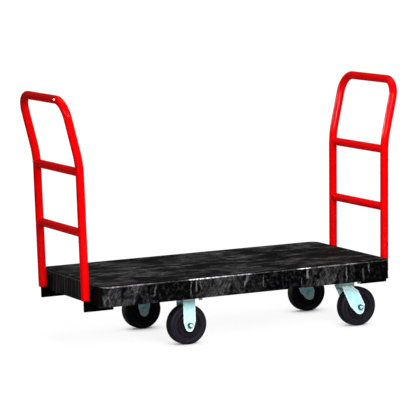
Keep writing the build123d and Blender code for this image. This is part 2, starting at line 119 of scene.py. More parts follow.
def make_piece(name, shells, material, body, nodes, bevel=0.0, crease=32.0):
    """Joins closed surfaces into one piece, welds doubled points, turns faces outward and
    hands the piece to the frame. bevel rounds its sharp edges; crease is the shading angle."""
    all_points = []
    all_faces = []
    for points, faces in shells:
        count = len(all_points)
        all_points.extend(points.tolist())
        all_faces.extend([corner + count for corner in face] for face in faces)
    mesh = bpy.data.meshes.new(name)
    mesh.from_pydata(all_points, [], all_faces)
    work = bmesh.new()
    work.from_mesh(mesh)
    bmesh.ops.remove_doubles(work, verts=work.verts, dist=SAME_POINT)
    bmesh.ops.dissolve_degenerate(work, edges=work.edges, dist=NO_LENGTH)
    bmesh.ops.recalc_face_normals(work, faces=work.faces)
    for face in work.faces:
        face.smooth = True
    if not bevel:
        for edge in work.edges:
            edge.smooth = edge.calc_face_angle(0.0) < math.radians(crease)
    work.to_mesh(mesh)
    work.free()
    mesh.materials.append(material)
    piece = new_object(name, mesh)
    if bevel:
        rounding = piece.modifiers.new("edge_rounding", "BEVEL")
        rounding.width = bevel
        rounding.segments = 3
        rounding.limit_method = "ANGLE"
        rounding.angle_limit = math.radians(crease)
        rounding.harden_normals = True
    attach(piece, body)
    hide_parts(*nodes)


def bent_line(corners, bends, steps=16):
    """A line through corners, each rounded by a circular arc of its own radius. A point on an
    arc is the arc's middle plus the sine-weighted mix of its first and last spoke."""
    path = [corners[0]]
    for before, corner, after, radius in zip(corners, corners[1:], corners[2:], bends):
        arm_in = unit(before - corner)
        arm_out = unit(after - corner)
        half = 0.5 * math.acos(float(arm_in @ arm_out))
        reach = radius / math.tan(half)
        middle = corner + unit(arm_in + arm_out) * radius / math.sin(half)
        turn = math.pi - 2 * half
        share = np.linspace(0, 1, steps + 1)[:, None]
        first = corner + arm_in * reach - middle
        last = corner + arm_out * reach - middle
        spokes = np.sin((1 - share) * turn) * first + np.sin(share * turn) * last
        path.extend(middle + spokes / math.sin(turn))
    path.append(corners[-1])
    return np.array(path)


TUBE_SIDES = 40
BEAD_SIDES = 10
BEAD_SWELL = 0.12


def rings_round(path, ahead, across, radii, sides):
    """Rings round a path: each point is the path's point plus the ring's radius times the
    cosine and sine of its turn along two directions square to the way ahead."""
    first = unit(across - np.sum(across * ahead, axis=1, keepdims=True) * ahead)[:, None]
    second = np.cross(ahead, first[:, 0])[:, None]
    turn = np.linspace(0, 2 * math.pi, sides, endpoint=False)[None, :, None]
    around = np.cos(turn) * first + np.sin(turn) * second
    return path[:, None] + np.asarray(radii)[:, None, None] * around


def open_rings(path, radii, across, sides=TUBE_SIDES):
    """Rings round a path with two ends: the way ahead at a corner halves its two edges."""
    steps = unit(np.diff(path, axis=0))
    ahead = unit(np.vstack([steps[:1], steps[:-1] + steps[1:], steps[-1:]]))
    return rings_round(path, ahead, across, radii, sides)


def open_tube(path, radius, wall, across):
    """A tube along a path with rounded open ends, closed out of sight inside each end."""
    lip = 0.7 * MM
    depth = 22 * MM
    inner = radius - wall
    shape = [(depth, inner), (lip, inner), (0.0, inner + lip), (0.0, radius - lip), (lip, radius)]
    start_way = unit(path[1] - path[0])
    end_way = unit(path[-2] - path[-1])
    along, radii = np.array(shape).T
    start = path[0] + start_way * along[:, None]
    end = path[-1] + end_way * along[::-1, None]
    line = np.vstack([start, path[1:-1], end])
    sizes = np.concatenate([radii, [radius] * (len(path) - 2), radii[::-1]])
    spokes = open_rings(path, [1.0] * len(path), across) - path[:, None]
    first = np.repeat(spokes[:1], len(shape), axis=0)
    last = np.repeat(spokes[-1:], len(shape), axis=0)
    spokes = np.concatenate([first, spokes[1:-1], last])
    return grid(line[:, None] + sizes[:, None, None] * spokes, wrap_columns=True, caps=True)


def bead(curve, radius, outward, ripples):
    """A weld bead along a closed curve: a small tube whose radius swells and shrinks evenly,
    once for each ripple."""
    ahead = unit(np.roll(curve, -1, axis=0) - np.roll(curve, 1, axis=0))
    place = np.linspace(0, 2 * math.pi * ripples, len(curve), endpoint=False)
    size = radius * (1 + BEAD_SWELL * np.sin(place))
    rings = rings_round(curve, ahead, outward, size, BEAD_SIDES)
    return grid(rings, wrap_rows=True, wrap_columns=True)


def turned(profile, centre, steps):
    """A closed profile of distance along Y and radius, turned round an axis along Y through a
    centre."""
    along, radius = np.array(profile).T
    turn = np.linspace(0, 2 * math.pi, steps, endpoint=False)[:, None]
    points = np.empty((steps, len(along), 3))
    points[..., 0] = centre[0] + radius * np.cos(turn)
    points[..., 1] = centre[1] + along
    points[..., 2] = centre[2] + radius * np.sin(turn)
    return grid(points, wrap_rows=True, wrap_columns=True)


def turned_upright(profile, centre):
    """A closed profile of height and radius, turned round an upright axis through a centre."""
    points, faces = turned(profile, (0, 0, 0), RACE_STEPS)
    return np.stack([points[:, 0], points[:, 2], points[:, 1]], axis=1) + np.array(centre), faces


def slab(outline, low, high, order=(0, 1, 2)):
    """A flat plate: an outline in two directions, carried from one level to another along a
    third. order says which axes the outline's two numbers and the level go to."""
    rings = np.empty((2, len(outline), 3))
    rings[..., list(order[:2])] = outline
    rings[..., order[2]] = [[low], [high]]
    return grid(rings, wrap_columns=True, caps=True)


def arc(centre, radius, start, end, steps):
    """Points on a circular arc between two angles in degrees."""
    angle = np.radians(np.linspace(start, end, steps))
    return np.array(centre) + radius * np.stack([np.cos(angle), np.sin(angle)], axis=1)


def rounded_loop(half_x, half_y, radius, corner_steps, straight_steps):
    """A rounded rectangle as points and outward directions: four quarter circles, joined by
    straight runs cut into equal steps."""
    corners = []
    quarter = np.radians(np.linspace(0, 90, corner_steps))
    for index, signs in enumerate(((1, 1), (-1, 1), (-1, -1), (1, -1))):
        angle = quarter + index * math.pi / 2
        spokes = np.stack([np.cos(angle), np.sin(angle)], axis=1)
        middle = np.array(signs) * (half_x - radius, half_y - radius)
        corners.append((middle + radius * spokes, spokes))
    share = np.linspace(0, 1, straight_steps + 1)[1:-1, None]
    loop = []
    ways = []
    for (points, spokes), after in zip(corners, corners[1:] + corners[:1]):
        loop.extend([points, points[-1] * (1 - share) + after[0][0] * share])
        ways.extend([spokes, np.repeat(spokes[-1:], straight_steps - 1, axis=0)])
    return np.concatenate(loop), np.concatenate(ways)


# ---------------------------------------------------------------- materials
def add(tree, kind, sockets=None, **settings):
    """Adds a shader node, with its settings, and its sockets set to values or linked."""
    node = tree.nodes.new(kind)
    for key, value in settings.items():
        setattr(node, key, value)
    for key, value in (sockets or {}).items():
        if isinstance(value, Varying):
            tree.links.new(value.socket, node.inputs[key])
        else:
            node.inputs[key].default_value = value
    return node


class Varying:
    """A number, colour, place or shade that varies over a surface. Numbers are added, taken
    away and multiplied with the usual signs, and abs drops a number's sign."""

    def __init__(self, node, output=0):
        self.tree = node.id_data
        self.socket = node.outputs[output]

    def calc(self, operation, other=0.0):
        """The named sum of this number and another."""
        return Varying(add(self.tree, "ShaderNodeMath", {0: self, 1: other}, operation=operation))

    def __add__(self, other):
        return self.calc("ADD", other)

    __radd__ = __add__

    def __sub__(self, other):
        return self.calc("SUBTRACT", other)

    def __mul__(self, other):
        return self.calc("MULTIPLY", other)

    def __abs__(self):
        return self.calc("ABSOLUTE")


def band(value, low, high, out_low=0.0, out_high=1.0):
    """A smooth step of a value from one number to another between two limits."""
    sockets = {
        "Value": value, "From Min": low, "From Max": high, "To Min": out_low, "To Max": out_high
    }
    node = add(value.tree, "ShaderNodeMapRange", sockets, interpolation_type="SMOOTHSTEP")
    return Varying(node, "Result")


def mixed(share, first, second):
    """A colour between two colours."""
    node = add(share.tree, "ShaderNodeMix", {0: share, 6: first, 7: second}, data_type="RGBA")
    return Varying(node, 2)


def between(share, first, second):
    """A number between two numbers."""
    node = add(share.tree, "ShaderNodeMix", {0: share, 2: first, 3: second}, data_type="FLOAT")
    return Varying(node)


def split(place):
    """The X, Y and Z of a place or direction."""
    node = add(place.tree, "ShaderNodeSeparateXYZ", {"Vector": place})
    return [Varying(node, axis) for axis in "XYZ"]


def length(place):
    """How far a place is from the origin."""
    node = add(place.tree, "ShaderNodeVectorMath", {0: place}, operation="LENGTH")
    return Varying(node, "Value")


def stretched(place, scale, turn=(0, 0, 0), shift=(0, 0, 0)):
    """A place moved, turned and scaled, for a pattern that is longer one way."""
    sockets = {"Vector": place, "Scale": scale, "Rotation": turn, "Location": shift}
    return Varying(add(place.tree, "ShaderNodeMapping", sockets))


def cloud(place, scale, detail, rough, bend=0.0):
    """Cloudy noise from 0 to 1. detail is the number of its finer layers, rough their strength,
    and bend how far it is twisted."""
    sockets = {
        "Vector": place, "Scale": scale, "Detail": detail, "Roughness": rough, "Distortion": bend
    }
    return Varying(add(place.tree, "ShaderNodeTexNoise", sockets), "Fac")


def fresh_tree(owner):
    """The emptied node tree of a material or world."""
    owner.use_nodes = True
    owner.node_tree.nodes.clear()
    return owner.node_tree


def start_material(name, **shader_values):
    """A material with its shader set, and the place on the object that its patterns read."""
    material = bpy.data.materials.new(name)
    tree = fresh_tree(material)
    sockets = {key.replace("_", " "): value for key, value in shader_values.items()}
    shader = add(tree, "ShaderNodeBsdfPrincipled", sockets)
    add(tree, "ShaderNodeOutputMaterial", {"Surface": Varying(shader)})
    return material, shader, Varying(add(tree, "ShaderNodeTexCoord"), "Object")


def finish_material(shader, colour, rough, height, depth):
    """Links the patterns of colour, roughness and height to the shader."""
    tree = shader.id_data
    sockets = {"Height": height, "Distance": depth, "Strength": 1.0}
    normal = Varying(add(tree, "ShaderNodeBump", sockets))
    for name, pattern in (("Base Color", colour), ("Roughness", rough), ("Normal", normal)):
        tree.links.new(pattern.socket, shader.inputs[name])


# Swirls of the deck's long skirts. Patches: middle along X, half width, lean, lightness.
SKIRT_PATCHES = [
    (-0.612, 0.016, -0.25, 0.030),
    (-0.570, 0.030, 0.30, 0.062),
    (-0.500, 0.030, 0.45, 0.055),
    (-0.438, 0.022, -0.45, 0.020),
    (-0.195, 0.022, 0.50, 0.034),
    (-0.128, 0.044, 0.62, 0.066),
    (-0.055, 0.022, -0.10, 0.036),
    (0.010, 0.030, -0.40, 0.014),
    (0.262, 0.016, 0.50, 0.040),
    (0.330, 0.038, 0.55, 0.072),
    (0.388, 0.010, 0.05, 0.040),
    (0.433, 0.012, -0.20, 0.034),
]
# Veins: place along X, lean, half width, lowest and highest place on the skirt, lightness.
SKIRT_VEINS = [
    (-0.604, -0.20, 0.0022, 0.05, 0.80, 0.07),
    (-0.586, -0.15, 0.0018, 0.05, 0.60, 0.06),
    (-0.400, 0.22, 0.0030, 0.25, 0.98, 0.07),
    (-0.252, 0.02, 0.0020, 0.15, 0.98, 0.09),
    (-0.230, 0.08, 0.0030, 0.30, 0.98, 0.12),
    (-0.211, -0.12, 0.0024, 0.45, 0.98, 0.07),
    (-0.024, 0.42, 0.0050, 0.35, 0.98, 0.09),
    (0.053, 0.03, 0.0022, 0.20, 0.90, 0.08),
    (0.215, -0.06, 0.0020, 0.02, 0.50, 0.07),
    (0.240, 0.14, 0.0042, 0.45, 0.99, 0.16),
    (0.411, 0.03, 0.0028, 0.05, 0.95, 0.10),
    (0.484, -0.04, 0.0030, 0.05, 0.75, 0.07),
    (0.510, -0.06, 0.0026, 0.45, 0.97, 0.10),
]
# Brighter stretches of the painted highlight along the skirts' top line: middle along X, half
# width, lightness.
HIGHLIGHT_STRETCHES = [
    (-0.575, 0.045, 0.22), (-0.470, 0.060, 0.16), (-0.215, 0.042, 0.95), (-0.120, 0.050, 0.55),
    (-0.030, 0.032, 0.34), (0.230, 0.030, 0.75), (0.330, 0.050, 0.16), (0.430, 0.030, 0.18),
]
# The lightness of the painted highlight line between its brighter stretches.
HIGHLIGHT_GROUND = 0.055
# Where the painted black shade along the top's border begins and is whole, along Y and along X.
BORDER_SHADE_Y = (DECK_HALF_Y - 20 * MM, DECK_HALF_Y - 16 * MM)
BORDER_SHADE_X = (DECK_HALF_X - 14 * MM, DECK_HALF_X - 10 * MM)


def strand_noise(x, y, z, lean, fine, long, bend):
    """Fine strands that lean along X as they go up, made by shearing the place first."""
    sockets = {"X": (x - z * lean) * fine, "Y": y * (fine * 0.2), "Z": z * long}
    place = Varying(add(x.tree, "ShaderNodeCombineXYZ", sockets))
    return cloud(place, 1.0, 3.0, 0.70, bend)


def wavering(place, x, scale, reach):
    """X moved to and fro by cloudy noise, by up to half the reach each way."""
    return x + (cloud(place, scale, 2.0, 0.5) - 0.5) * reach


def skirt_light(place, x, y, z):
    """How light the long skirts are: leaning patches filled with strands, thin veins, and a
    dark faintly clouded ground."""
    up = z - (DECK_TOP + DECK_BOTTOM) / 2
    rise = band(z, DECK_BOTTOM, DECK_TOP)
    drifting = wavering(place, x, 24.0, 60 * MM)
    shaken = wavering(place, x, 70.0, 12 * MM)
    rising = band(strand_noise(x, y, z, 0.62, 210.0, 34.0, 0.4), 0.40, 0.68)
    falling = band(strand_noise(x, y, z, -0.42, 190.0, 40.0, 0.4), 0.40, 0.68)
    crossed = rising * 0.75 + falling * 0.35
    blotch = band(cloud(place, 58.0, 3.0, 0.6), 0.34, 0.66, 0.25, 1.25)
    ground = band(cloud(place, 62.0, 5.0, 0.7), 0.49, 0.64, 0.0001, 0.019)
    light = ground * band(x, 0.0, 0.5, 1.0, 0.45)
    for middle, half, lean, level in SKIRT_PATCHES:
        strands = crossed if lean > 0 else falling
        far = abs(drifting - up * lean - middle)
        mask = band(far, half * 0.75, half * 1.15, level, 0.0)
        light += mask * (blotch * (strands * 1.25 + 0.08))
    for middle, lean, half, low, high, level in SKIRT_VEINS:
        far = abs(shaken - up * lean - middle)
        mask = band(far, half * 0.3, half * 1.5, level, 0.0)
        low_end = band(rise, low - 0.12, low + 0.12)
        high_end = band(rise, high - 0.12, high + 0.06, 1.0, 0.0)
        light += mask * (low_end * high_end)
    return light


def deck_plastic():
    """Black foam-moulded plastic with grey swirls: long soft streaks on top, darkened to a painted
    black shade along its border; leaning patches and upright veins on the long skirts; upright
    streaks on the end walls, darkened by a painted shade towards their near corners; a painted
    highlight line along the top of the skirts; and fine grain."""
    material, shader, place = start_material("deck_plastic", Specular_IOR_Level=0.012)
    x, y, z = split(place)
    normal = Varying(add(place.tree, "ShaderNodeNewGeometry"), "True Normal")
    facing_x, _, facing_z = split(normal)
    flat = band(facing_z, 0.80, 0.97)
    endwise = band(abs(facing_x), 0.70, 0.88)
    grain = cloud(place, 420.0, 3.0, 0.7)

    # Top: broad light and dark areas, drawn out along X, filled with finer streaks and grain.
    broad = cloud(stretched(place, (5.5, 13, 5), (0, 0, 0.10)), 1.0, 4.0, 0.62, 0.6)
    streaks = cloud(stretched(place, (18, 105, 18), (0, 0, 0.06)), 1.0, 4.0, 0.62, 0.3)
    wisps = cloud(stretched(place, (30, 60, 30), (0, 0, -0.35)), 1.0, 3.0, 0.6, 1.4)
    hatch = strand_noise(x, z, y, -0.9, 95.0, 9.0, 0.6)
    top = band(broad, 0.42, 0.58, 0.0003, 0.023) * band(streaks, 0.40, 0.60, 0.12, 2.3)
    top = top * band(grain, 0.42, 0.58, 0.15, 1.9) * band(hatch, 0.41, 0.59, 0.08, 1.95)
    top += band(wisps, 0.62, 0.76, 0.0, 0.05)
    # The top darkens to a painted black shade along its border step, near the long and the short
    # edges.
    top *= band(abs(y), *BORDER_SHADE_Y, 1.0, 0.05) * band(abs(x), *BORDER_SHADE_X, 1.0, 0.15)

    side = skirt_light(place, x, y, z) * band(grain, 0.40, 0.60, 0.35, 1.25)
    end_streaks = cloud(stretched(place, (20, 150, 7)), 1.0, 4.0, 0.6, 0.1)
    # The end walls darken to a painted shade towards their near (-Y) corners, where the near posts
    # and brackets shade them.
    end = band(end_streaks, 0.42, 0.72, 0.003, 0.050) * band(y, -0.26, -0.12, 0.10, 1.0)
    value = between(flat, between(endwise, side, end), top)

    # A painted highlight line along the top of the skirts, brighter in some stretches than in
    # others.
    line = band(z, DECK_TOP - 6.5 * MM, DECK_TOP - 4.0 * MM)
    line *= band(facing_z, 0.55, 0.80, 1.0, 0.0)
    line *= band(endwise, 0.0, 1.0, 1.0, 0.15)
    highlight_level = HIGHLIGHT_GROUND
    for middle, half, level in HIGHLIGHT_STRETCHES:
        highlight_level += band(abs(x - middle), half * 0.7, half * 1.2, level, 0.0)
    dashes = cloud(stretched(place, (120, 40, 40)), 1.0, 2.0, 0.6)
    value += line * (highlight_level * band(dashes, 0.36, 0.60, 0.25, 1.0))
    colour = mixed(value, (0.0008, 0.0008, 0.001, 1), (1.0, 0.97, 1.0, 1))

    rough = band(streaks, 0.3, 0.7, 0.66, 0.52)
    finish_material(shader, colour, rough, grain * 0.5 + broad * 0.5, 0.12 * MM)
    return material


def painted(name, colour, shade, rough, specular, coat):
    """Sprayed paint on steel: an even colour with a faint deeper drift, orange-peel bump and a
    few dull rubs."""
    material, shader, place = start_material(
        name, Specular_IOR_Level=specular, Coat_Weight=coat, Coat_Roughness=0.06
    )
    drift = band(cloud(place, 14.0, 3.0, 0.5), 0.35, 0.65)
    peel = cloud(place, 420.0, 2.0, 0.5)
    rubs = band(cloud(stretched(place, (60, 60, 240)), 1.0, 3.0, 0.6), 0.62, 0.75)
    value = mixed(drift, (*shade, 1), (*colour, 1))
    dull = band(rubs, 0.0, 1.0, rough, rough + 0.14)
    finish_material(shader, value, dull, peel, 0.035 * MM)
    return material


# How far from a fork's middle the painted highlight on its raised rims begins and is whole.
RIM_HIGHLIGHT_LOW = 31.0 * MM
RIM_HIGHLIGHT_HIGH = 31.3 * MM


def plated(name, colour, tint, rough, brush, direction, metal=1.0, rim=None):
    """Plated steel: metal with soft clouds of a second tint, fine lines one way and small pits.
    A lighter rim colour, a painted highlight, shows on the raised rims of the fork legs."""
    material, shader, place = start_material(name, Metallic=metal, Specular_IOR_Level=0.3)
    clouds = band(cloud(place, 34.0, 4.0, 0.6), 0.36, 0.66)
    lines = cloud(stretched(place, direction), 1.0, 3.0, 0.6)
    pits = band(cloud(place, 700.0, 2.0, 0.5), 0.58, 0.70)
    value = mixed(clouds, (*colour, 1), (*tint, 1))
    if rim is not None:
        out = abs(abs(split(place)[1]) - CASTER_Y)
        # A painted highlight: the raised rims of the legs take the lighter rim colour.
        value = mixed(band(out, RIM_HIGHLIGHT_LOW, RIM_HIGHLIGHT_HIGH), value, (*rim, 1))
    dull = band(clouds, 0.0, 1.0, rough, rough + 0.12)
    finish_material(shader, value, dull, lines * brush - pits, 0.03 * MM)
    return material


# How far apart the fine and the wide turned rings of a wheel are.
FINE_RING = 3.1 * MM
WIDE_RING = 17 * MM


def ringed(name, colour, sheen, ring_colour, axle_x, rough):
    """Turned rubber or moulding of a wheel: faint even rings about the axle and dusty clouds."""
    material, shader, place = start_material(name, Specular_IOR_Level=0.12)
    radius = length(stretched(place, (1, 0, 1), shift=(-axle_x, 0, -AXLE_Z)))
    fine = (radius * (2 * math.pi / FINE_RING)).calc("SINE")
    wide = (radius * (2 * math.pi / WIDE_RING)).calc("SINE")
    dust = band(cloud(place, 70.0, 4.0, 0.6), 0.40, 0.70)
    value = mixed(dust * 0.55, (*colour, 1), (*sheen, 1))
    value = mixed(band(wide, 0.72, 1.0) * 0.6, value, (*ring_colour, 1))
    dull = band(dust, 0.0, 1.0, rough, rough + 0.15)
    height = fine * 0.25 + cloud(place, 800.0, 2.0, 0.5)
    finish_material(shader, value, dull, height, 0.05 * MM)
    return material


deck_finish = deck_plastic()
red_paint = painted("handle_paint", (0.70, 0.0003, 0.0008), (0.62, 0.0003, 0.0014), 0.45, 0, 0.14)
# The rungs get a lighter copy of the handle paint: painted light, for how light falls on them.
rung_paint_lit_copy = painted("rung_paint_lit_copy", (0.80, 0.0003, 0.0010), (0.72, 0.0003, 0.0018), 0.45, 0, 0.14)
black_paint = painted(
    "bracket_paint", (0.0004, 0.0004, 0.0005), (0.001, 0.001, 0.0011), 0.5, 0.02, 0
)
# Pattern scales of a plating's fine lines, which run where the scale is small.
LEVEL_LINES = (30, 30, 400)
UPRIGHT_LINES = (300, 300, 60)
zinc = plated("zinc_plate", (0.68, 0.97, 0.88), (0.44, 0.86, 0.95), 0.3, 0.5, LEVEL_LINES, 0.15)
fork_zinc = plated(
    "zinc_fork", (0.66, 0.96, 0.84), (0.38, 0.84, 0.97), 0.3, 0.5, LEVEL_LINES, 0.15,
    # The last colour is a painted highlight on the legs' raised rims.
    (0.95, 1, 0.98),
)
dark_steel = plated(
    "axle_nut_steel", (0.10, 0.11, 0.12), (0.06, 0.065, 0.07), 0.4, 0.6, UPRIGHT_LINES
)
galvanised = plated(
    "galvanised_sheet", (0.50, 0.52, 0.54), (0.38, 0.40, 0.42), 0.45, 0.4, (20, 400, 400)
)
bright_steel = plated(
    "fastener_steel", (0.52, 0.56, 0.56), (0.40, 0.44, 0.45), 0.3, 0.6, UPRIGHT_LINES
)
bearing_steel = plated(
    "bearing_steel", (0.62, 0.62, 0.64), (0.50, 0.50, 0.52), 0.18, 0.2, (60, 500, 60)
)
tyre_finishes = {}
core_finishes = {}
for caster, axle_x in (("rigid", RIGID_X), ("swivel", SWIVEL_AXLE_X)):
    tyre_finishes[caster] = ringed(
        f"tyre_rubber_{caster}", (0.0070, 0.0062, 0.0105), (0.014, 0.012, 0.019),
        (0.024, 0.014, 0.026), axle_x, 0.50,
    )
    core_finishes[caster] = ringed(
        f"core_plastic_{caster}", (0.0045, 0.0035, 0.0065), (0.009, 0.0075, 0.012),
        (0.018, 0.009, 0.018), axle_x, 0.42,
    )


# ---------------------------------------------------------------- deck
DECK_CORNER = 38 * MM
SKIRT_WALL = 8 * MM
DECK_SKIN = 10 * MM
BORDER_STEP = 0.4 * MM
BORDER_INNER = 6.4 * MM
BORDER_OUTER = 5.2 * MM
EDGE_RADIUS = 3 * MM
FOOT_RADIUS = 1.2 * MM
LONG_WAVE = 0.16 * MM
SHORT_WAVE = 0.10 * MM


def deck_skin():
    """The deck's outer and inner skin: a profile carried round a rounded rectangle. The profile
    runs from the middle of the top over a slight border step, the edge round and the leaning
    skirt, round the foot, up the inner wall and back under the top to the middle. The skirt
    waves by a fraction of a millimetre, as foam mouldings do."""
    loop, ways = rounded_loop(DECK_HALF_X, DECK_HALF_Y, DECK_CORNER, 14, 40)
    lean = SKIRT_SPREAD / (DECK_TOP - DECK_BOTTOM)
    edge_top = DECK_TOP - BORDER_STEP
    edge = arc((-EDGE_RADIUS, edge_top - EDGE_RADIUS), EDGE_RADIUS, 90, 4, 8)
    skirt_z = np.linspace(edge_top - EDGE_RADIUS - 1 * MM, DECK_BOTTOM + FOOT_RADIUS, 7)
    skirt = np.stack([lean * (DECK_TOP - skirt_z), skirt_z], axis=1)
    foot = arc((SKIRT_SPREAD - FOOT_RADIUS, DECK_BOTTOM + FOOT_RADIUS), FOOT_RADIUS, -10, -90, 5)
    inner_low = SKIRT_SPREAD - SKIRT_WALL
    under_z = DECK_TOP - DECK_SKIN
    inside = [
        (inner_low + 1 * MM, DECK_BOTTOM),
        (inner_low, DECK_BOTTOM + 1 * MM),
        (lean * DECK_SKIN - SKIRT_WALL, under_z + 2 * MM),
        (lean * DECK_SKIN - SKIRT_WALL - 2 * MM, under_z),
    ]
    top = [(-inset, DECK_TOP) for inset in (34 * MM, 20 * MM, BORDER_INNER)]
    top.extend([(-BORDER_OUTER, edge_top), (-EDGE_RADIUS - 0.6 * MM, edge_top)])
    profile = np.vstack([top, edge, skirt, foot, inside])
    spine = np.zeros((len(loop), 3))
    reach = DECK_HALF_X - DECK_HALF_Y
    spine[:, 0] = np.clip(loop[:, 0], -reach, reach)
    rings = np.empty((len(profile) + 6, len(loop), 3))
    rings[3:-3, :, :2] = loop[None] + profile[:, 0, None, None] * ways[None]
    rings[3:-3, :, 2] = profile[:, 1, None]
    skirt_rows = slice(3 + len(top) + len(edge), 3 + len(top) + len(edge) + len(skirt))
    x, y = loop.T
    wave = LONG_WAVE * np.sin(x * 23.0 + 1.3) * np.sin(y * 31.0 + 0.4)
    wave += SHORT_WAVE * np.sin(x * 61.0 + y * 47.0) - LONG_WAVE - SHORT_WAVE
    rings[skirt_rows, :, :2] += wave[:, None] * ways
    for row, share in enumerate((0.0, 0.35, 0.7)):
        spine[:, 2] = DECK_TOP
        rings[row] = spine + share * (rings[3] - spine)
        spine[:, 2] = under_z
        rings[-1 - row] = spine + share * (rings[-4] - spine)
    return grid(rings, wrap_columns=True)


RIB = 5 * MM
RIB_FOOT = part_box("deck_ribs")[0][2]
RAIL_Y = 204 * MM
RAIL_HALF = 46.3 * MM
RAIL_LENGTH = 1180 * MM
CROSS_RIBS = 9
MIDDLE_RIB_Y = 52 * MM


def rib_block(low, high):
    """One rib: a long block whose thickness shrinks by a quarter going down."""
    middle = (np.array(low) + high) / 2
    half = (np.array(high) - low) / 2
    thin = np.where(half < RIB, half * 0.75, half)
    signs = np.array([(-1, -1, 0), (1, -1, 0), (1, 1, 0), (-1, 1, 0)])
    foot = middle + signs * thin - (0, 0, half[2])
    head = middle + signs * half + (0, 0, half[2])
    return grid(np.stack([foot, head]), wrap_columns=True, caps=True)


def deck_ribs():
    """The ribs under the deck: long ones beside the rails and in the middle, and cross ones
    from one long rib, or from the skirt, to the next."""
    top = DECK_TOP - DECK_SKIN + 1 * MM
    half = RIB / 2
    reach_y = DECK_HALF_Y - SKIRT_WALL + 1 * MM
    inner = RAIL_Y - RAIL_HALF - half
    outer = RAIL_Y + RAIL_HALF + half
    ribs = []
    for y in (-outer, -inner, -MIDDLE_RIB_Y, MIDDLE_RIB_Y, inner, outer):
        reach_x = DECK_HALF_X - SKIRT_WALL + 1 * MM
        ribs.append(rib_block((-reach_x, y - half, RIB_FOOT), (reach_x, y + half, top)))
    for index in range(CROSS_RIBS):
        x = RAIL_LENGTH * ((index + 1) / (CROSS_RIBS + 1) - 0.5)
        for start, end in ((-reach_y, -outer), (-inner, inner), (outer, reach_y)):
            ribs.append(rib_block((x - half, start, RIB_FOOT), (x + half, end, top)))
    return ribs


make_piece("deck", [deck_skin()], deck_finish, "chassis", ["deck_shell"], crease=40)
make_piece(
    "deck_rib_grid", deck_ribs(), deck_finish, "chassis", ["deck_ribs"],
    bevel=0.8 * MM,
)


# ---------------------------------------------------------------- handles
LOWER_LEAN = math.tan(math.radians(0.91))
UPPER_LEAN = math.tan(math.radians(13.24))
POST_X = 637.2 * MM
FOOT_Z = tube_low[2] + 0.26 * MM
BEND_Z = 709.6 * MM
TOP_Z = tube_high[2] - TUBE_RADIUS
BEND_RADIUS = 400 * MM
CORNER_RADIUS = 70 * MM
TUBE_WALL = 2 * MM
RUNG_BEAD = 2.2 * MM
RUNG_RIPPLES = 26


def post_x(z):
    """How far from the middle of the truck a post's axis stands at a height below its bend."""
    return POST_X + (z - DECK_TOP) * LOWER_LEAN


def handle_tube(end):
    """The bent tube of one handle: up a post, out at the bend, round the top bar and down."""
    foot_x = post_x(FOOT_Z)
    bend_x = post_x(BEND_Z)
    top_x = bend_x + (TOP_Z - BEND_Z) * UPPER_LEAN
    half = np.array([(foot_x, -POST_Y, FOOT_Z), (bend_x, -POST_Y, BEND_Z), (top_x, -POST_Y, TOP_Z)])
    corners = np.vstack([half, half[::-1] * (1, -1, 1)]) * (end, 1, 1)
    path = bent_line(corners, (BEND_RADIUS, CORNER_RADIUS, CORNER_RADIUS, BEND_RADIUS))
    return open_tube(path, TUBE_RADIUS, TUBE_WALL, np.array([1.0, 0.0, -0.1 * end]))


def cope_reach(turn):
    """How far from the middle a rung's end meets the round of its post: the post's spacing less
    the root of the radius squared less the sideways reach squared."""
    return POST_Y - np.sqrt(np.maximum(TUBE_RADIUS**2 - (TUBE_RADIUS * np.cos(turn)) ** 2, 0.0))


def rung_shells(end, height):
    """A cross rung and its two weld beads, which run along its ends."""
    x = end * post_x(height)
    turn = np.linspace(0, 2 * math.pi, 48, endpoint=False)
    cope = np.minimum(cope_reach(turn) + 0.6 * MM, POST_Y - 4 * MM)
    points = np.empty((13, len(turn), 3))
    points[..., 0] = x + TUBE_RADIUS * np.cos(turn)
    points[..., 1] = np.linspace(-1, 1, 13)[:, None] * cope
    points[..., 2] = height + TUBE_RADIUS * np.sin(turn)
    shells = [grid(points, wrap_columns=True, caps=True)]
    turn = np.linspace(0, 2 * math.pi, 150, endpoint=False)
    spokes = np.stack([np.cos(turn), np.zeros(len(turn)), np.sin(turn)], axis=1)
    for side in SIDES.values():
        curve = np.array([x, 0.0, height]) + TUBE_RADIUS * 0.995 * spokes
        curve[:, 1] = side * np.minimum(cope_reach(turn), POST_Y - 3 * MM)
        shells.append(bead(curve, RUNG_BEAD, spokes, RUNG_RIPPLES))
    return shells


for end_name, end in ENDS.items():
    make_piece(
        f"handle_tube_{end_name}", [handle_tube(end)], red_paint, "chassis",
        [f"handle_{end_name}"],
    )
    for rung_name in ("lower", "upper"):
        node = f"rung_{end_name}_{rung_name}"
        low, high = corner_values(node)
        make_piece(
            f"{node}_welded", rung_shells(end, (low[2] + high[2]) / 2), rung_paint_lit_copy, "chassis",
            [node], crease=60,
        )


# ---------------------------------------------------------------- brackets
WEB_HALF = 3 * MM
WEB_INNER = 525 * MM
WEB_OUTER = 643.6 * MM
WEB_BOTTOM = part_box("bracket_left_near")[0][2]
BRACKET_PLATE = 5 * MM
BRACKET_HALF = 30 * MM
BACK_HALF = 20 * MM
SPIGOT_RADIUS = 13.6 * MM
SPIGOT_TOP = 330 * MM
BACK_OUTER = 617.6 * MM
BACK_INNER = BACK_OUTER - BRACKET_PLATE
BACK_TOP = 247 * MM
FLANGE_BOTTOM = DECK_BOTTOM - BRACKET_PLATE
SEAT_TOP = FOOT_Z - 1.2 * MM
BRACKET_BEAD = 2.4 * MM


